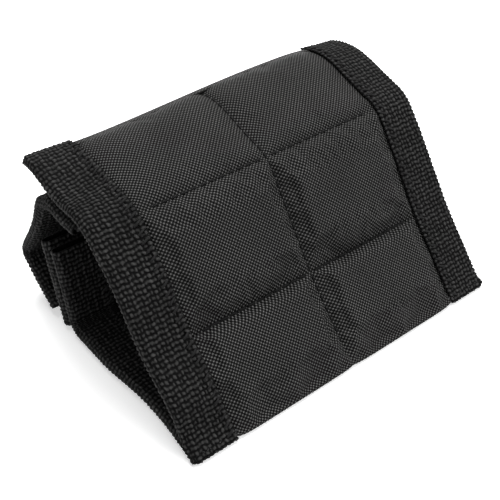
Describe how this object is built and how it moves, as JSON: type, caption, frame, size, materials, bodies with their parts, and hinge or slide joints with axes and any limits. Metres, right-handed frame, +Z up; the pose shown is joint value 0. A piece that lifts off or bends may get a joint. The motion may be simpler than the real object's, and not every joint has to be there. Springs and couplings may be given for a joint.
{
  "type": "magnetic wristband",
  "caption": "Padded cloth wristband with bar magnets sewn into its pockets, taped edges and a strap that closes with a hook flap on a loop panel.",
  "frame": {"origin": "under the middle of the closed band, at the floor it stands on", "axes": "+X across the band, +Y from the front fold to the strap at the back, +Z up"},
  "size_m": [0.09, 0.0718, 0.0469],
  "materials": {
    "cover_cloth": "plain weave synthetic cloth with a low sheen",
    "edge_tape": "coarse ribbed webbing tape",
    "lining_cloth": "plain weave synthetic cloth",
    "felt": "thin pressed felt",
    "strap_web": "plain weave strap cloth",
    "hook_tape": "moulded nylon hooks",
    "loop_pile": "brushed loop pile",
    "magnet": "nickel plated"
  },
  "bodies": {
    "base": {"bottom_cover": "cover_cloth", "bottom_lining": "lining_cloth", "bottom_felt": "felt", "magnet_4_left": "magnet", "magnet_4_right": "magnet", "bottom_binding_left": "edge_tape", "bottom_binding_right": "edge_tape", "tail_web": "strap_web", "tail_binding_left": "edge_tape", "tail_binding_right": "edge_tape", "loop_panel_web": "strap_web", "loop_panel_binding_left": "edge_tape", "loop_panel_binding_right": "edge_tape", "loop_pile": "loop_pile"},
    "front": {"front_cover": "cover_cloth", "front_lining": "lining_cloth", "front_felt": "felt", "magnet_3_left": "magnet", "magnet_3_right": "magnet", "magnet_2_left": "magnet", "magnet_2_right": "magnet", "front_binding_left": "edge_tape", "front_binding_right": "edge_tape"},
    "top": {"top_cover": "cover_cloth", "top_lining": "lining_cloth", "top_felt": "felt", "magnet_1_left": "magnet", "magnet_1_right": "magnet", "top_binding_left": "edge_tape", "top_binding_right": "edge_tape", "top_end_hem": "cover_cloth", "strap_root_web": "strap_web", "strap_root_binding_left": "edge_tape", "strap_root_binding_right": "edge_tape"},
    "strap": {"strap_web": "strap_web", "strap_binding_left": "edge_tape", "strap_binding_right": "edge_tape"},
    "flap": {"flap_web": "strap_web", "flap_binding_left": "edge_tape", "flap_binding_right": "edge_tape", "flap_end_tape": "edge_tape", "hook_strip": "hook_tape"}
  },
  "joints": [
    {"name": "fold_open", "type": "hinge", "parent": "base", "child": "front", "pos_m": [0, -0.03621, 0], "axis": [1, 0, 0], "range_deg": [0, 124]},
    {"name": "top_lift", "type": "hinge", "parent": "front", "child": "top", "pos_m": [0, -0.00455, 0.04166], "axis": [1, 0, 0], "range_deg": [0, 41]},
    {"name": "strap_swing", "type": "hinge", "parent": "top", "child": "strap", "pos_m": [0, 0.02358, 0.0293], "axis": [1, 0, 0], "range_deg": [0, 99.2]},
    {"name": "flap_peel", "type": "hinge", "parent": "strap", "child": "flap", "pos_m": [0, 0.03606, 0.01291], "axis": [1, 0, 0], "range_deg": [0, 110]}
  ],
  "couplings": [
    {"joint": "top_lift", "follows": "fold_open", "ratio": 0.33064},
    {"joint": "strap_swing", "follows": "fold_open", "ratio": 0.8}
  ]
}
